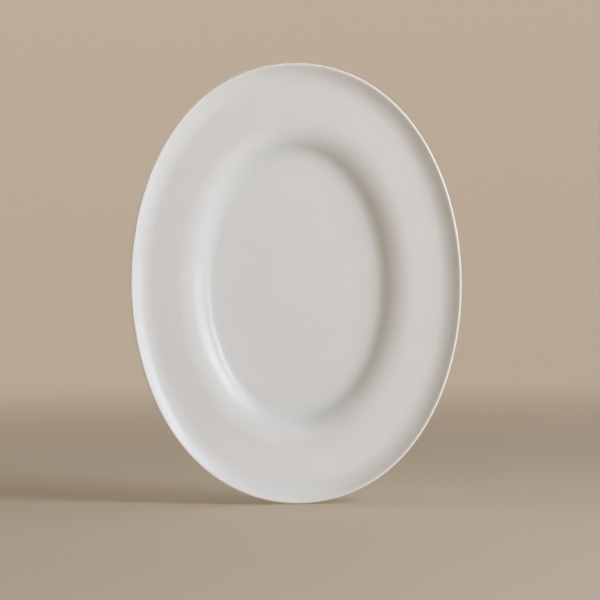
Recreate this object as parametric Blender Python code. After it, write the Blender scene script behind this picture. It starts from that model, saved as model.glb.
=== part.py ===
"""An oval china serving platter, standing upright on one narrow end.

Metres, +Z up. The platter's length runs along Z, its width along X, and its well faces -Y.
The origin is at the middle of the space that the platter takes up, on the surface below it.

Heights are first worked out as on a table: a height is measured from the foot ring's bearing
face up towards the well's open side. An offset is measured outwards, square to the oval edge of
the well's floor, so a negative offset lies below the floor.
"""

import math

import bmesh
import bpy
from mathutils import Vector

# Overall sizes
LENGTH = 0.356
WIDTH = 0.267

# The rim, from the edge of the well's floor to the outer edge
RIM_AT_SIDES = 0.0683
RIM_AT_QUARTERS = 0.0734  # where the oval faces halfway between a side and an end
RIM_AT_ENDS = 0.0752
RIM_SLOPE = math.radians(2.0)

# The well
WELL_DEPTH = 0.0118  # from the edge of the floor up to the start of the rim
FLOOR_DISH = 0.0006  # how far the middle of the floor lies below its edge
FLOOR_EVENNESS = 8  # the power with which the floor curves up: the higher, the flatter its middle
FLOOR_FILLET = 0.0145
WALL_RUN = 0.0012  # the straight stretch between the fillet and the shoulder
SHOULDER_RADIUS = 0.034

# The turned-up lip: a curve, and then a straight flare to the edge
LIP_RISE = 0.0066
LIP_RADIUS = 0.0198
LIP_SLOPE = math.radians(41.0)

# Clay thickness
FLOOR_THICKNESS = 0.0050
EDGE_THICKNESS = 0.0024

# The foot ring
FOOT_HEIGHT = 0.0045  # from its bearing face up to the underside of the well
FOOT_WIDTH = 0.0050
FOOT_INSET = 0.0035  # its outer side lies this far inside the edge of the well's floor
FOOT_TAPER = 0.0006  # each side leans in by this much towards the bearing face
FOOT_ROUNDING = 0.0009
SEAM_GAP = 0.0003

# Fineness of the facets
SEGMENTS_AROUND = 80
FILLET_STEPS = 3
SHOULDER_STEPS = 4
LIP_STEPS = 4
EDGE_ANGLES = (90, 60, 30, 0, -30)  # degrees; 90 is the edge's highest point, 0 its outermost
FLOOR_RINGS = 3
FOOT_ROUNDING_STEPS = 2
CRISP_ANGLE = math.radians(40)  # facets that meet at more than this keep a crisp corner
SAME_PLACE = 1e-6  # points this near to each other are one point

# The oval edge of the well's floor, about which everything is laid out
FLOOR_SEMI_WIDTH = WIDTH / 2 - RIM_AT_SIDES
FLOOR_SEMI_LENGTH = LENGTH / 2 - RIM_AT_ENDS


def remove_everything():
    """Empty the file of objects, so that the platter is all it holds."""
    for thing in list(bpy.data.objects):
        bpy.data.objects.remove(thing, do_unlink=True)


def floor_edge_slope():
    """How steeply the floor rises where it meets the fillet."""
    return math.atan(FLOOR_DISH * FLOOR_EVENNESS / FLOOR_SEMI_WIDTH)


def wall_slope():
    """The wall's slope, with which fillet, straight stretch and shoulder climb WELL_DEPTH."""
    across = FLOOR_FILLET + SHOULDER_RADIUS
    lean = math.atan2(WALL_RUN, across)
    fillet_start = FLOOR_FILLET * math.cos(floor_edge_slope())
    level = fillet_start + SHOULDER_RADIUS * math.cos(RIM_SLOPE) - WELL_DEPTH
    return math.acos(level / math.hypot(across, WALL_RUN)) - lean


def arc(start, radius, slope_from, slope_to, steps):
    """Points of (offset, height, slope) along an arc that starts at `start`, which is left out."""
    points = []
    for step in range(1, steps + 1):
        slope = slope_from + (slope_to - slope_from) * step / steps
        along = radius * abs(math.sin(slope) - math.sin(slope_from))
        up = radius * abs(math.cos(slope) - math.cos(slope_from))
        points.append((start[0] + along, start[1] + up, slope))
    return points


def straight(start, length):
    """The end of a straight stretch that carries on at the slope it starts with."""
    slope = start[2]
    return (start[0] + length * math.cos(slope), start[1] + length * math.sin(slope), slope)


def upper_line():
    """The face of the platter in section, from the edge of the floor to the lip's top edge."""
    wall = wall_slope()
    line = [(0.0, FOOT_HEIGHT + FLOOR_THICKNESS + FLOOR_DISH, floor_edge_slope())]
    line += arc(line[-1], FLOOR_FILLET, floor_edge_slope(), wall, FILLET_STEPS)
    line.append(straight(line[-1], WALL_RUN))
    line += arc(line[-1], SHOULDER_RADIUS, wall, RIM_SLOPE, SHOULDER_STEPS)
    curve_rise = LIP_RADIUS * (math.cos(RIM_SLOPE) - math.cos(LIP_SLOPE))
    curve_across = LIP_RADIUS * (math.sin(LIP_SLOPE) - math.sin(RIM_SLOPE))
    flare = (LIP_RISE - curve_rise) / math.sin(LIP_SLOPE)
    edge_across = EDGE_THICKNESS / 2 * (1 + math.sin(LIP_SLOPE))
    lip_across = curve_across + flare * math.cos(LIP_SLOPE) + edge_across
    rim_across = RIM_AT_SIDES - lip_across - line[-1][0]
    line.append(straight(line[-1], rim_across / math.cos(RIM_SLOPE)))
    line += arc(line[-1], LIP_RADIUS, RIM_SLOPE, LIP_SLOPE, LIP_STEPS)
    line.append(straight(line[-1], flare))
    return line


def thickness_at(offset, last_offset):
    """The clay's thickness: full under the floor, thinning faster and faster towards the lip."""
    share = offset / last_offset
    return FLOOR_THICKNESS - (FLOOR_THICKNESS - EDGE_THICKNESS) * share * share


def underside_of(line):
    """The underside in section, which lies the clay's thickness below the face."""
    last_offset = line[-1][0]
    below = []
    for offset, height, slope in line:
        thickness = thickness_at(offset, last_offset)
        below.append((offset + thickness * math.sin(slope), height - thickness * math.cos(slope)))
    return below


def rounded_edge(top):
    """The lip's half-round edge, between the last points of the face and of the underside."""
    radius = EDGE_THICKNESS / 2
    slope = top[2]
    middle = (top[0] + radius * math.sin(slope), top[1] - radius * math.cos(slope))
    points = []
    for degrees in EDGE_ANGLES:
        angle = math.radians(degrees)
        points.append((middle[0] + radius * math.cos(angle), middle[1] + radius * math.sin(angle)))
    return points


def overall_height():
    """How far the platter's lip stands above the foot ring's bearing face."""
    return max(height for _, height in rounded_edge(upper_line()[-1]))


def body_section():
    """The platter's closed outline in section, from the middle of the floor round to below it."""
    face = upper_line()
    floor_middle = FOOT_HEIGHT + FLOOR_THICKNESS
    section = []
    for ring in range(FLOOR_RINGS):
        share = ring / FLOOR_RINGS
        rise = FLOOR_DISH * share ** FLOOR_EVENNESS
        section.append((-FLOOR_SEMI_WIDTH * (1 - share), floor_middle + rise))
    section += [(offset, height) for offset, height, _ in face]
    section += rounded_edge(face[-1])
    section += reversed(underside_of(face)[1:])
    section.append((0.0, FOOT_HEIGHT))
    section.append((-FOOT_INSET - FOOT_WIDTH / 2, FOOT_HEIGHT))
    section.append((-FLOOR_SEMI_WIDTH, FOOT_HEIGHT))
    return section


def foot_section():
    """The foot ring's closed outline in section, with its two bearing corners still sharp."""
    outer = -FOOT_INSET
    inner = outer - FOOT_WIDTH
    top = FOOT_HEIGHT - SEAM_GAP
    return [
        (inner, top),
        (outer, top),
        (outer - FOOT_TAPER, 0.0),
        (inner + FOOT_TAPER, 0.0),
    ]


def turned(mesh, section, closed):
    """Turn a section a full circle about Y, as on a potter's wheel."""
    points = []
    for offset, height in section:
        points.append(mesh.verts.new((FLOOR_SEMI_WIDTH + offset, -height, 0.0)))
    edges = [mesh.edges.new(pair) for pair in zip(points, points[1:])]
    if closed:
        edges.append(mesh.edges.new((points[-1], points[0])))
    bmesh.ops.spin(
        mesh,
        geom=points + edges,
        cent=(0.0, 0.0, 0.0),
        axis=(0.0, 1.0, 0.0),
        dvec=(0.0, 0.0, 0.0),
        angle=2 * math.pi,
        steps=SEGMENTS_AROUND,
        use_merge=True,
    )
    bmesh.ops.remove_doubles(mesh, verts=mesh.verts, dist=SAME_PLACE)


def rim_widening(endwise):
    """How much wider the rim is than at the sides, as a factor.

    `endwise` is 0 at a side, a half at a quarter and 1 at an end. The width follows the one
    parabola that passes through all three.
    """
    sides = (1 - endwise) * (1 - 2 * endwise)
    quarters = 4 * endwise * (1 - endwise)
    ends = endwise * (2 * endwise - 1)
    return sides + quarters * RIM_AT_QUARTERS / RIM_AT_SIDES + ends * RIM_AT_ENDS / RIM_AT_SIDES


def drawn_out_to_oval(mesh):
    """Draw the round turned shape out to its oval, and stand it on its narrow end.

    Each point from the foot ring outwards moves square to the oval edge of the floor, so foot
    and rim keep their section all the way round. Within the foot ring everything scales.
    """
    middle = overall_height() / 2
    foot_inside = FOOT_INSET + FOOT_WIDTH
    for vert in mesh.verts:
        radius = math.hypot(vert.co.x, vert.co.z)
        angle = math.atan2(vert.co.z, vert.co.x)
        square = Vector((FLOOR_SEMI_LENGTH * math.cos(angle), FLOOR_SEMI_WIDTH * math.sin(angle)))
        square.normalize()
        offset = max(radius - FLOOR_SEMI_WIDTH, -foot_inside)
        if offset > 0:
            offset *= rim_widening(square.y ** 2)
        inward = min(radius / (FLOOR_SEMI_WIDTH - foot_inside), 1.0)
        across = (FLOOR_SEMI_WIDTH * math.cos(angle) + offset * square.x) * inward
        along = (FLOOR_SEMI_LENGTH * math.sin(angle) + offset * square.y) * inward
        vert.co = Vector((across, vert.co.y + middle, along + LENGTH / 2))


def clay(name, colour, roughness):
    """A fired clay finish."""
    finish = bpy.data.materials.new(name)
    finish.use_nodes = True
    shader = finish.node_tree.nodes["Principled BSDF"]
    shader.inputs["Base Color"].default_value = (*colour, 1.0)
    shader.inputs["Roughness"].default_value = roughness
    shader.inputs["Metallic"].default_value = 0.0
    return finish


def piece(name, mesh, finish):
    """Make a named object of a finished mesh, shaded smooth except at its crisp corners."""
    bmesh.ops.recalc_face_normals(mesh, faces=mesh.faces)
    data = bpy.data.meshes.new(name)
    mesh.to_mesh(data)
    mesh.free()
    data.shade_smooth()
    data.set_sharp_from_angle(angle=CRISP_ANGLE)
    data.materials.append(finish)
    made = bpy.data.objects.new(name, data)
    bpy.context.scene.collection.objects.link(made)
    return made


def platter_body():
    """The well, wall, rim and lip, pressed from one sheet of clay."""
    mesh = bmesh.new()
    turned(mesh, body_section(), closed=False)
    drawn_out_to_oval(mesh)
    piece("platter_body", mesh, clay("glazed_china", (0.62, 0.61, 0.59), 0.12))


def foot_ring():
    """The ring of clay that is luted under the well and carries the platter on a table."""
    mesh = bmesh.new()
    turned(mesh, foot_section(), closed=True)
    bearing = [edge for edge in mesh.edges if on_bearing_corner(edge)]
    bmesh.ops.bevel(
        mesh,
        geom=bearing,
        offset=FOOT_ROUNDING,
        offset_type="OFFSET",
        segments=FOOT_ROUNDING_STEPS,
        profile=0.5,
        affect="EDGES",
        material=-1,
    )
    drawn_out_to_oval(mesh)
    piece("foot_ring", mesh, clay("unglazed_china", (0.60, 0.58, 0.54), 0.75))


def on_bearing_corner(edge):
    """Whether an edge runs round the foot ring at the height of its bearing face."""
    first, second = edge.verts
    on_face = max(abs(first.co.y), abs(second.co.y)) < SAME_PLACE
    first_radius = math.hypot(first.co.x, first.co.z)
    second_radius = math.hypot(second.co.x, second.co.z)
    return on_face and abs(first_radius - second_radius) < SAME_PLACE


remove_everything()
platter_body()
foot_ring()
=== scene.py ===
"""The looks of an oval china serving platter: clear glaze over white clay, on a seamless sweep.

Metres, in the part's own frame: the platter stands upright on one narrow end, its length along
Z, its width along X, its well facing -Y and its foot ring facing +Y.

A section of the platter is laid out as on a table. A height is measured from the foot ring's
bearing face up towards the open side of the well. An offset is measured outwards, square to the
oval edge of the well's floor, so a negative offset lies below the floor.
"""

import math

import bmesh
import bpy
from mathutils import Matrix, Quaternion, Vector


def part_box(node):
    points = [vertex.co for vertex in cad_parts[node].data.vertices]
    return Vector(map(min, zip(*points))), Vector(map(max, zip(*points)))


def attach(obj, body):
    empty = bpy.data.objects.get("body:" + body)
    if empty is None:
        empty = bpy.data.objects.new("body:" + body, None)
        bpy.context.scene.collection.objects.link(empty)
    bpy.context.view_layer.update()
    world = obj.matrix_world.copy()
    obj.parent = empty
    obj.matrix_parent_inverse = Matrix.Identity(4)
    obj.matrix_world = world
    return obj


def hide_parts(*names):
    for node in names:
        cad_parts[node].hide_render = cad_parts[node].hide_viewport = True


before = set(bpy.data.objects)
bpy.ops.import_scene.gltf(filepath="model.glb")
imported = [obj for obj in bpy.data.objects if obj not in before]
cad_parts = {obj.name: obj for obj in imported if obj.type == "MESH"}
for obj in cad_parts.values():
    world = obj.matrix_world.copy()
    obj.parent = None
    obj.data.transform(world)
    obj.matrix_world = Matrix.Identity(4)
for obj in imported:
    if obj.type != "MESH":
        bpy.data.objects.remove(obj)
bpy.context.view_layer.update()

BODY_LOW, BODY_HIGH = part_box("platter_body")
FOOT_LOW, FOOT_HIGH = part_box("foot_ring")

# Overall sizes, from the frame
LENGTH = BODY_HIGH.z - BODY_LOW.z
WIDTH = BODY_HIGH.x - BODY_LOW.x
MIDDLE = Vector(((BODY_LOW.x + BODY_HIGH.x) / 2, 0.0, (BODY_LOW.z + BODY_HIGH.z) / 2))
BEARING_Y = FOOT_HIGH.y

# The rim, from the edge of the well's floor to the outer edge
RIM_AT_SIDES = 0.0683
RIM_AT_QUARTERS = 0.0734
RIM_AT_ENDS = 0.0752
RIM_SLOPE = math.radians(2.0)

# The well
WELL_DEPTH = 0.0118
FLOOR_DISH = 0.0006
FLOOR_EVENNESS = 8
FLOOR_FILLET = 0.0145
WALL_RUN = 0.0012
SHOULDER_RADIUS = 0.034

# The turned-up lip
LIP_RISE = 0.0066
LIP_RADIUS = 0.0198
LIP_SLOPE = math.radians(41.0)

# Clay thickness
FLOOR_THICKNESS = 0.0050
EDGE_THICKNESS = 0.0024

# The foot ring
FOOT_HEIGHT = 0.0045
FOOT_WIDTH = 0.0050
FOOT_INSET = 0.0035
FOOT_TAPER = 0.0006
FOOT_FILLET = 0.0016  # what the potter's sponge leaves where the foot meets the underside
FOOT_SUNK = 0.0002  # how far the foot's top reaches into the underside, so that no gap shows
FOOT_ROUNDING = 0.0011  # beside the bearing face, where the grinding stops
FOOT_CORNER = 0.0003  # how far in the middle of that rounding lies

# The oval edge of the well's floor, about which everything is laid out
FLOOR_SEMI_WIDTH = WIDTH / 2 - RIM_AT_SIDES
FLOOR_SEMI_LENGTH = LENGTH / 2 - RIM_AT_ENDS

# Fineness of the cage that the subdivision smooths
SEGMENTS_AROUND = 76
SMOOTHING = 2
FLOOR_SHARES = (0.0, 0.2, 0.4, 0.55, 0.7, 0.82, 0.92)  # rings of the floor, from its middle
UNDERSIDE_SHARES = (0.0, 0.1, 0.25, 0.5, 0.75, 1.0)  # rings below it, inwards from its edge
FILLET_STEPS = 6
WALL_STEPS = 1
SHOULDER_STEPS = 9
RIM_STEPS = 4
LIP_STEPS = 8
FLARE_STEPS = 3
EDGE_ANGLES = (90, 60, 30, 0, -30)  # degrees; 90 is the edge's highest point, 0 its outermost
SAME_PLACE = 1e-6  # points this near to each other are one point

# Each mesh keeps this offset, in metres, so that a finish can follow the oval
OUT_FROM_FLOOR = "out_from_floor"


# ---------------------------------------------------------------- section of the platter

def floor_edge_slope():
    """How steeply the floor rises where it meets the fillet."""
    return math.atan(FLOOR_DISH * FLOOR_EVENNESS / FLOOR_SEMI_WIDTH)


def wall_slope():
    """The wall's slope, with which fillet, straight stretch and shoulder climb WELL_DEPTH."""
    across = FLOOR_FILLET + SHOULDER_RADIUS
    lean = math.atan2(WALL_RUN, across)
    fillet_start = FLOOR_FILLET * math.cos(floor_edge_slope())
    level = fillet_start + SHOULDER_RADIUS * math.cos(RIM_SLOPE) - WELL_DEPTH
    return math.acos(level / math.hypot(across, WALL_RUN)) - lean


def arc(start, radius, slope_from, slope_to, steps):
    """Points of (offset, height, slope) along an arc that starts at `start`, which is left out."""
    points = []
    for step in range(1, steps + 1):
        slope = slope_from + (slope_to - slope_from) * step / steps
        along = radius * abs(math.sin(slope) - math.sin(slope_from))
        up = radius * abs(math.cos(slope) - math.cos(slope_from))
        points.append((start[0] + along, start[1] + up, slope))
    return points


def straight(start, length, steps):
    """Points along a straight stretch that carries on at the slope it starts with."""
    points = []
    for step in range(1, steps + 1):
        out = length * step / steps
        points.append((
            start[0] + out * math.cos(start[2]),
            start[1] + out * math.sin(start[2]),
            start[2],
        ))
    return points


def upper_line():
    """The face of the platter in section, from the edge of the floor to the lip's top edge."""
    wall = wall_slope()
    line = [(0.0, FOOT_HEIGHT + FLOOR_THICKNESS + FLOOR_DISH, floor_edge_slope())]
    line += arc(line[-1], FLOOR_FILLET, floor_edge_slope(), wall, FILLET_STEPS)
    line += straight(line[-1], WALL_RUN, WALL_STEPS)
    line += arc(line[-1], SHOULDER_RADIUS, wall, RIM_SLOPE, SHOULDER_STEPS)
    curve_rise = LIP_RADIUS * (math.cos(RIM_SLOPE) - math.cos(LIP_SLOPE))
    curve_across = LIP_RADIUS * (math.sin(LIP_SLOPE) - math.sin(RIM_SLOPE))
    flare = (LIP_RISE - curve_rise) / math.sin(LIP_SLOPE)
    edge_across = EDGE_THICKNESS / 2 * (1 + math.sin(LIP_SLOPE))
    lip_across = curve_across + flare * math.cos(LIP_SLOPE) + edge_across
    rim_across = RIM_AT_SIDES - lip_across - line[-1][0]
    line += straight(line[-1], rim_across / math.cos(RIM_SLOPE), RIM_STEPS)
    line += arc(line[-1], LIP_RADIUS, RIM_SLOPE, LIP_SLOPE, LIP_STEPS)
    line += straight(line[-1], flare, FLARE_STEPS)
    return line


def underside_of(line):
    """The underside in section: it lies the clay's thickness below the face."""
    last_offset = line[-1][0]
    below = []
    for offset, height, slope in line:
        thinning = (FLOOR_THICKNESS - EDGE_THICKNESS) * (offset / last_offset) ** 2
        thickness = FLOOR_THICKNESS - thinning
        below.append((offset + thickness * math.sin(slope), height - thickness * math.cos(slope)))
    return below


def rounded_edge(top):
    """The lip's half-round edge, between the last points of the face and of the underside."""
    radius = EDGE_THICKNESS / 2
    slope = top[2]
    middle = (top[0] + radius * math.sin(slope), top[1] - radius * math.cos(slope))
    points = []
    for degrees in EDGE_ANGLES:
        angle = math.radians(degrees)
        points.append((middle[0] + radius * math.cos(angle), middle[1] + radius * math.sin(angle)))
    return points


def body_section():
    """The platter's outline in section, from the middle of the floor round to below it."""
    face = upper_line()
    section = []
    for share in FLOOR_SHARES:
        rise = FLOOR_DISH * share ** FLOOR_EVENNESS
        section.append((-FLOOR_SEMI_WIDTH * (1 - share), FOOT_HEIGHT + FLOOR_THICKNESS + rise))
    section += [(offset, height) for offset, height, _ in face]
    section += rounded_edge(face[-1])
    section += reversed(underside_of(face)[1:])
    for share in UNDERSIDE_SHARES:
        section.append((-FLOOR_SEMI_WIDTH * share, FOOT_HEIGHT))
    return section


# ---------------------------------------------------------------- turning and drawing out

def spun(mesh, points, closed, axis, steps):
    """Join points into a line, and turn it a full circle about an axis through the origin."""
    edges = [mesh.edges.new(pair) for pair in zip(points, points[1:])]
    if closed:
        edges.append(mesh.edges.new((points[-1], points[0])))
    bmesh.ops.spin(
        mesh,
        geom=points + edges,
        cent=(0.0, 0.0, 0.0),
        axis=axis,
        dvec=(0.0, 0.0, 0.0),
        angle=2 * math.pi,
        steps=steps,
        use_merge=True,
    )
    bmesh.ops.remove_doubles(mesh, verts=mesh.verts, dist=SAME_PLACE)


def turned(mesh, section, closed):
    """Turn a section a full circle about Y, as on a potter's wheel."""
    points = []
    for offset, height in section:
        points.append(mesh.verts.new((FLOOR_SEMI_WIDTH + offset, -height, 0.0)))
    spun(mesh, points, closed, (0.0, 1.0, 0.0), SEGMENTS_AROUND)


def rim_widening(endwise):
    """How much wider the rim is than at the sides: `endwise` is 0 at a side and 1 at an end."""
    sides = (1 - endwise) * (1 - 2 * endwise)
    quarters = 4 * endwise * (1 - endwise)
    ends = endwise * (2 * endwise - 1)
    return sides + quarters * RIM_AT_QUARTERS / RIM_AT_SIDES + ends * RIM_AT_ENDS / RIM_AT_SIDES


def drawn_out_to_oval(mesh):
    """Draw the round turned shape out to its oval, and stand it on its narrow end."""
    foot_inside = FOOT_INSET + FOOT_WIDTH
    out_from_floor = mesh.verts.layers.float.new(OUT_FROM_FLOOR)
    for vert in mesh.verts:
        radius = math.hypot(vert.co.x, vert.co.z)
        vert[out_from_floor] = radius - FLOOR_SEMI_WIDTH
        angle = math.atan2(vert.co.z, vert.co.x)
        square = Vector((FLOOR_SEMI_LENGTH * math.cos(angle), FLOOR_SEMI_WIDTH * math.sin(angle)))
        square.normalize()
        offset = max(radius - FLOOR_SEMI_WIDTH, -foot_inside)
        if offset > 0:
            offset *= rim_widening(square.y ** 2)
        inward = min(radius / (FLOOR_SEMI_WIDTH - foot_inside), 1.0)
        across = (FLOOR_SEMI_WIDTH * math.cos(angle) + offset * square.x) * inward
        along = (FLOOR_SEMI_LENGTH * math.sin(angle) + offset * square.y) * inward
        vert.co = Vector((MIDDLE.x + across, BEARING_Y + vert.co.y, MIDDLE.z + along))


def smooth_object(name, mesh, finish):
    """Make an object of a finished mesh, with its faces pointing out and shaded smooth."""
    bmesh.ops.recalc_face_normals(mesh, faces=mesh.faces)
    data = bpy.data.meshes.new(name)
    mesh.to_mesh(data)
    mesh.free()
    data.shade_smooth()
    data.materials.append(finish)
    made = bpy.data.objects.new(name, data)
    bpy.context.scene.collection.objects.link(made)
    return made


def piece(name, mesh, finish, cad_node):
    """Make the finished piece that stands for a CAD node."""
    made = smooth_object(name, mesh, finish)
    smooth = made.modifiers.new("smoothing", "SUBSURF")
    smooth.levels = SMOOTHING
    smooth.render_levels = SMOOTHING
    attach(made, "root")
    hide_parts(cad_node)
    return made


def glazed_dish(finish):
    """The well, wall, rim and lip, pressed from one sheet of clay."""
    mesh = bmesh.new()
    turned(mesh, body_section(), closed=False)
    drawn_out_to_oval(mesh)
    return piece("glazed_dish", mesh, finish, "platter_body")


def luted_foot(finish):
    """The foot ring, with the fillet that the potter's sponge leaves along each side."""
    mesh = bmesh.new()
    outer = -FOOT_INSET
    inner = outer - FOOT_WIDTH
    hollow = FOOT_FILLET * 0.3

    # One side, from the underside down: how far into the foot from its edge, and how high
    side = [
        (-FOOT_FILLET, FOOT_HEIGHT + FOOT_SUNK),
        (-FOOT_FILLET, FOOT_HEIGHT),
        (-hollow, FOOT_HEIGHT - hollow),
        (0.0, FOOT_HEIGHT - FOOT_FILLET),
        (FOOT_TAPER * 0.8, FOOT_ROUNDING),
        (FOOT_TAPER + FOOT_CORNER, FOOT_CORNER),
        (FOOT_TAPER + FOOT_ROUNDING, 0.0),
    ]
    section = [(inner + into, height) for into, height in side]
    section += [(outer - into, height) for into, height in reversed(side)]
    turned(mesh, section, closed=True)
    drawn_out_to_oval(mesh)
    return piece("luted_foot", mesh, finish, "foot_ring")


# ---------------------------------------------------------------- materials

# The Mix node's sockets for colours; it has others of the same names for numbers and vectors
MIX_COLOURS = (6, 7)
MIX_RESULT = 2

GLASSY_IOR = 1.5  # the glaze, and the glass in the fired clay


def linear(hex_colour):
    """A colour given as sRGB hex, in the linear values that the shaders take."""
    channels = []
    for start in (0, 2, 4):
        value = int(hex_colour[start:start + 2], 16) / 255
        channels.append(value / 12.92 if value <= 0.04045 else ((value + 0.055) / 1.055) ** 2.4)
    return (*channels, 1.0)


def node(tree, kind, settings, links):
    """Add a node, set its properties and sockets, and link its inputs."""
    made = tree.nodes.new(kind)
    for name, value in settings.items():
        if isinstance(name, int) or name in made.inputs:
            made.inputs[name].default_value = value
        else:
            setattr(made, name, value)
    for name, source in links.items():
        tree.links.new(source, made.inputs[name])
    return made


def new_finish(name):
    """A new material, with its node tree and its Principled shader."""
    finish = bpy.data.materials.new(name)
    finish.use_nodes = True
    return finish, finish.node_tree, finish.node_tree.nodes["Principled BSDF"]


def blend(tree, share, first, second):
    """Blend two colours; each is sRGB hex or the output of an earlier blend."""
    settings = {"data_type": "RGBA"}
    links = {0: share}
    for socket, colour in zip(MIX_COLOURS, (first, second)):
        if isinstance(colour, str):
            settings[socket] = linear(colour)
        else:
            links[socket] = colour
    return node(tree, "ShaderNodeMix", settings, links).outputs[MIX_RESULT]


def share_of(tree, value, low, high, to_low=0.0, to_high=1.0):
    """Where a value lies between two limits, held at each, with a soft start and stop."""
    settings = {
        "interpolation_type": "SMOOTHSTEP",
        "From Min": low,
        "From Max": high,
        "To Min": to_low,
        "To Max": to_high,
    }
    return node(tree, "ShaderNodeMapRange", settings, {"Value": value}).outputs["Result"]


def sum_of(tree, first, second, scale=1.0):
    """The first value times a scale, plus the second, which may be a number."""
    settings = {"operation": "MULTIPLY_ADD", 1: scale}
    links = {0: first}
    if isinstance(second, float):
        settings[2] = second
    else:
        links[2] = second
    return node(tree, "ShaderNodeMath", settings, links).outputs[0]


def scaled(tree, value, scale):
    """A value times a number."""
    return sum_of(tree, value, 0.0, scale)


def product_of(tree, first, second):
    """Two values multiplied."""
    made = node(tree, "ShaderNodeMath", {"operation": "MULTIPLY"}, {0: first, 1: second})
    return made.outputs[0]


def near(tree, value, middle, reach):
    """1 where a value is at `middle`, falling softly to 0 at `reach` from it."""
    apart = sum_of(tree, value, -middle)
    apart = node(tree, "ShaderNodeMath", {"operation": "ABSOLUTE"}, {0: apart}).outputs[0]
    return share_of(tree, apart, 0.0, reach, 1.0, 0.0)


def noise(tree, place, size, detail):
    """Soft random patches of about a size in metres, from 0 to 1."""
    settings = {"Scale": 1 / size, "Detail": detail}
    return node(tree, "ShaderNodeTexNoise", settings, {"Vector": place}).outputs["Fac"]


def glazed_china():
    """Glazed china: white clay pressed in a mould, dipped in clear glaze and fired glossy.

    The clay gives an even, slightly warm white. The glaze over it is a quarter of a millimetre
    thick: it mirrors crisply, runs into the well's turn, where it looks a little grey, and draws
    thin over the lip, where the clay shows whiter. It isn't quite flat, so reflections waver.
    """
    finish, tree, shader = new_finish("glazed_china")
    place = node(tree, "ShaderNodeTexCoord", {}, {}).outputs["Object"]
    outwards = node(tree, "ShaderNodeAttribute", {"attribute_name": OUT_FROM_FLOOR}, {})
    outwards = outwards.outputs["Fac"]
    depth = node(tree, "ShaderNodeSeparateXYZ", {}, {"Vector": place}).outputs["Y"]
    underside_y = BEARING_Y - FOOT_HEIGHT
    below = share_of(tree, depth, underside_y - 0.0026, underside_y - 0.0008)

    # Clay and glaze colour: patches 30 mm wide, hardly seen, as the dip leaves them
    patches = share_of(tree, noise(tree, place, 0.030, 3.0), 0.3, 0.7)
    colour = blend(tree, patches, "E8E7E4", "EAE9E6")
    pooled = near(tree, outwards, 0.006, 0.013)
    colour = blend(tree, scaled(tree, pooled, 0.55), colour, "DADCD8")
    thin = share_of(tree, outwards, RIM_AT_SIDES - 0.005, RIM_AT_SIDES - 0.0005)
    colour = blend(tree, scaled(tree, thin, 0.7), colour, "F2EFE8")
    by_foot = near(tree, outwards, -FOOT_INSET - FOOT_WIDTH / 2, 0.0068)
    colour = blend(tree, product_of(tree, by_foot, below), colour, "D3D5D0")

    # Iron specks: 0.4 mm across in the clay, drawn 0.8 mm across so that they show
    cells = node(tree, "ShaderNodeTexVoronoi", {"Scale": 1 / 0.009}, {"Vector": place})
    speck = share_of(tree, cells.outputs["Distance"], 0.03, 0.05, 1.0, 0.0)
    few = node(tree, "ShaderNodeSeparateColor", {}, {"Color": cells.outputs["Color"]})
    few = share_of(tree, few.outputs["Red"], 0.70, 0.72)
    speck = product_of(tree, speck, few)
    colour = blend(tree, scaled(tree, speck, 0.45), colour, "A89880")
    tree.links.new(colour, shader.inputs["Base Color"])

    # Gloss: cloudier and clearer patches 14 mm wide, from the kiln's flame
    cloudy = noise(tree, place, 0.014, 2.0)
    tree.links.new(share_of(tree, cloudy, 0.35, 0.7, 0.028, 0.055), shader.inputs["Roughness"])
    shader.inputs["IOR"].default_value = GLASSY_IOR

    # Waves in the glaze 13 mm long, and the 2.6 mm rings left by the tool that smoothed the mould
    waves = noise(tree, place, 0.013, 1.0)
    ring_spacing = 0.0026
    rings = sum_of(tree, outwards, scaled(tree, waves, 3.0), 2 * math.pi / ring_spacing)
    rings = node(tree, "ShaderNodeMath", {"operation": "SINE"}, {0: rings}).outputs[0]
    rings = product_of(tree, rings, sum_of(tree, below, 0.035, 0.10))
    surface = sum_of(tree, rings, waves)
    bump = node(tree, "ShaderNodeBump", {"Distance": 0.00004}, {"Height": surface})
    tree.links.new(bump.outputs["Normal"], shader.inputs["Normal"])
    return finish


def unglazed_china():
    """Unglazed china: the foot's sides are glazed, and its bearing face is wiped and ground bare.

    The glaze stops in a wavering line a millimetre up. Below it the fired clay is matt, warmer and
    sandy to the eye, and greyed in streaks where it has stood on tables.
    """
    finish, tree, shader = new_finish("unglazed_china")
    place = node(tree, "ShaderNodeTexCoord", {}, {}).outputs["Object"]
    depth = node(tree, "ShaderNodeSeparateXYZ", {}, {"Vector": place}).outputs["Y"]
    line = sum_of(tree, noise(tree, place, 0.009, 2.0), depth, 0.0009)
    bare = share_of(tree, line, BEARING_Y - 0.0008, BEARING_Y - 0.0005)

    # Grit is 0.1 mm across in the clay, and is drawn 1 mm across so that it shows
    grit = noise(tree, place, 0.001, 2.0)
    clay = blend(tree, share_of(tree, grit, 0.35, 0.65), "D9CDBC", "C9BCAA")
    worn = share_of(tree, noise(tree, place, 0.012, 4.0), 0.48, 0.68)
    clay = blend(tree, scaled(tree, worn, 0.6), clay, "A9A198")
    glaze = blend(tree, noise(tree, place, 0.014, 2.0), "E2E3DF", "E9E8E5")
    tree.links.new(blend(tree, bare, glaze, clay), shader.inputs["Base Color"])
    tree.links.new(sum_of(tree, bare, 0.05, 0.68), shader.inputs["Roughness"])
    shader.inputs["IOR"].default_value = GLASSY_IOR
    sandy = product_of(tree, grit, bare)
    bump = node(tree, "ShaderNodeBump", {"Distance": 0.00012}, {"Height": sandy})
    tree.links.new(bump.outputs["Normal"], shader.inputs["Normal"])
    return finish


# ---------------------------------------------------------------- stage, lights and camera

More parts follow.
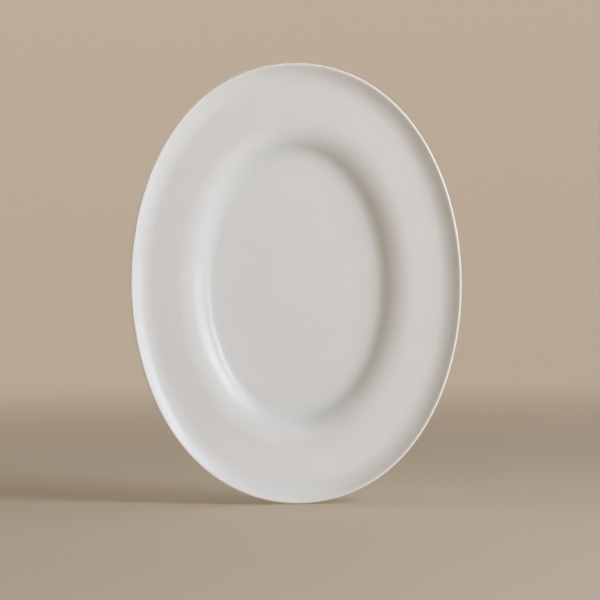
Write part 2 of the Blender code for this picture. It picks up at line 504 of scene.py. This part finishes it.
DAYLIGHT = (0.85, 0.97, 1.15)
ROOM_GLOW = (1.18, 0.94, 0.62)
FLOOR_BOUNCE = (1.0, 1.0, 0.8)

SWEEP_RADIUS = 3.0
SWEEP_BEND = 0.9
SWEEP_WALL = 0.5
SWEEP_BEND_STEPS = 12
SWEEP_SEGMENTS = 96

CAMERA_DISTANCE = 2.0
SEEN_ACROSS = 0.4830  # how much the view takes in from side to side, at the lip's edge
CAMERA_ROLL = math.radians(-0.7)
CAMERA_RIGHT = 0.0030  # of the platter's middle
CAMERA_DOWN = 0.0136  # from the platter's middle
SENSOR_WIDTH = 36.0  # millimetres, as the lens is


def sweep_paper():
    """Matt card in warm beige that glows a little as painted light: more away from the platter,
    towards the wall, and least at its foot, a painted contact shadow.
    """
    finish, tree, shader = new_finish("sweep_paper")
    place = node(tree, "ShaderNodeTexCoord", {}, {}).outputs["Object"]
    fibres = share_of(tree, noise(tree, place, 0.004, 3.0), 0.3, 0.7)
    colour = blend(tree, fibres, "D5C6B0", "D9CAB4")
    tree.links.new(colour, shader.inputs["Base Color"])
    shader.inputs["Roughness"].default_value = 0.9
    away = node(tree, "ShaderNodeVectorMath", {"operation": "LENGTH"}, {"Vector": place})
    away = away.outputs["Value"]
    # The card's glow is painted light: it dims by the platter's foot into a painted contact
    # shadow, and grows out towards the wall as a painted wash on the backdrop.
    glow_with_painted_contact_shadow = share_of(tree, away, 0.0, 0.14, 0.020, 0.060)
    far_glow = share_of(tree, away, 0.36, 3.0, 0.0, 0.180)
    shader.inputs["Emission Color"].default_value = linear("FFF4EA")
    tree.links.new(sum_of(tree, glow_with_painted_contact_shadow, far_glow), shader.inputs["Emission Strength"])
    return finish


def sweep():
    """A pale floor that turns up into a low wall all round, with no corner."""
    mesh = bmesh.new()
    section = [(0.0, 0.0), (SWEEP_RADIUS, 0.0)]
    for step in range(1, SWEEP_BEND_STEPS + 1):
        angle = math.pi / 2 * step / SWEEP_BEND_STEPS
        across = SWEEP_RADIUS + SWEEP_BEND * math.sin(angle)
        section.append((across, SWEEP_BEND * (1 - math.cos(angle))))
    section.append((SWEEP_RADIUS + SWEEP_BEND, SWEEP_BEND + SWEEP_WALL))
    points = [mesh.verts.new((across, 0.0, up)) for across, up in section]
    spun(mesh, points, False, (0.0, 0.0, 1.0), SWEEP_SEGMENTS)
    made = smooth_object("sweep", mesh, sweep_paper())
    return made


def soft_light(name, azimuth, elevation, distance, size, radiance, colour, mirrored=True):
    """A rectangular soft light that faces the platter's middle and is itself out of sight.

    Azimuth 0 is straight in front of the well, and 90 is on the platter's right. A light that
    isn't mirrored stands for bounce too faint to see in the glaze.
    """
    turn = math.radians(azimuth)
    lift = math.radians(elevation)
    away = Vector((
        math.sin(turn) * math.cos(lift),
        -math.cos(turn) * math.cos(lift),
        math.sin(lift),
    ))
    data = bpy.data.lights.new(name, "AREA")
    data.shape = "RECTANGLE"
    data.size, data.size_y = size
    data.energy = radiance * math.pi * size[0] * size[1]
    data.color = colour
    made = bpy.data.objects.new(name, data)
    made.location = MIDDLE + away * distance
    made.rotation_mode = "QUATERNION"
    made.rotation_quaternion = away.to_track_quat("Z", "Y")
    made.visible_camera = False
    made.visible_glossy = mirrored
    bpy.context.scene.collection.objects.link(made)
    return made


def light_only(lights, pieces):
    """Keep some lights to some pieces, so that the sweep has one shadow and an even tone."""
    lit = bpy.data.collections.new("lit_by_" + lights[0].name)
    for made in pieces:
        lit.objects.link(made)
    for light in lights:
        light.light_linking.receiver_collection = lit


def ambient(strength, colour):
    """An even dim light from all round."""
    world = bpy.data.worlds.new("room")
    world.use_nodes = True
    background = world.node_tree.nodes["Background"]
    background.inputs["Color"].default_value = (*colour, 1.0)
    background.inputs["Strength"].default_value = strength
    bpy.context.scene.world = world


def camera():
    """A long lens, level with the platter's middle and square to its well."""
    data = bpy.data.cameras.new("camera")
    data.sensor_width = SENSOR_WIDTH
    data.lens = SENSOR_WIDTH * CAMERA_DISTANCE / SEEN_ACROSS
    made = bpy.data.objects.new("camera", data)
    made.location = (
        MIDDLE.x + CAMERA_RIGHT,
        BODY_LOW.y - CAMERA_DISTANCE,
        MIDDLE.z - CAMERA_DOWN,
    )
    level = Quaternion((1.0, 0.0, 0.0), math.radians(90))
    made.rotation_mode = "QUATERNION"
    made.rotation_quaternion = level @ Quaternion((0.0, 0.0, 1.0), CAMERA_ROLL)
    bpy.context.scene.collection.objects.link(made)
    bpy.context.scene.camera = made


dish = glazed_dish(glazed_china())
foot = luted_foot(unglazed_china())
paper_sweep = sweep()
ambient(0.19, ROOM_GLOW)
soft_light("window", 56, 20.5, 1.8, (0.90, 1.57), 1.15, DAYLIGHT)
soft_light("window_middle", 52.5, 22, 1.8, (1.07, 1.03), 0.45, DAYLIGHT)
soft_light("window_core", 55, 20, 1.8, (0.57, 0.51), 1.6, DAYLIGHT)
soft_light("strip", 0, 44, 1.8, (0.6, 0.03), 3.0, DAYLIGHT)
soft_light("overhead", 150, 62, 1.8, (1.4, 0.4), 0.9, DAYLIGHT)
spread = soft_light("spread", 53, 10, 1.7, (2.6, 1.6), 1.72, DAYLIGHT, mirrored=False)
bounce = soft_light("bounce", 20, -14.5, 0.6, (1.2, 0.05), 0.6, FLOOR_BOUNCE)
side = soft_light("side", 115, 22, 1.8, (0.35, 1.3), 4.8, DAYLIGHT)
rear_fill = soft_light("rear_fill", 205, 28, 2.2, (1.5, 1.5), 2.4, DAYLIGHT)
light_only([spread, bounce, side, rear_fill], [dish, foot])
sweep_key = soft_light("sweep_key", 50, 30, 1.9, (0.8, 0.8), 4.4, DAYLIGHT)
light_only([sweep_key], [paper_sweep])
camera()
bpy.context.scene.view_settings.view_transform = "Standard"
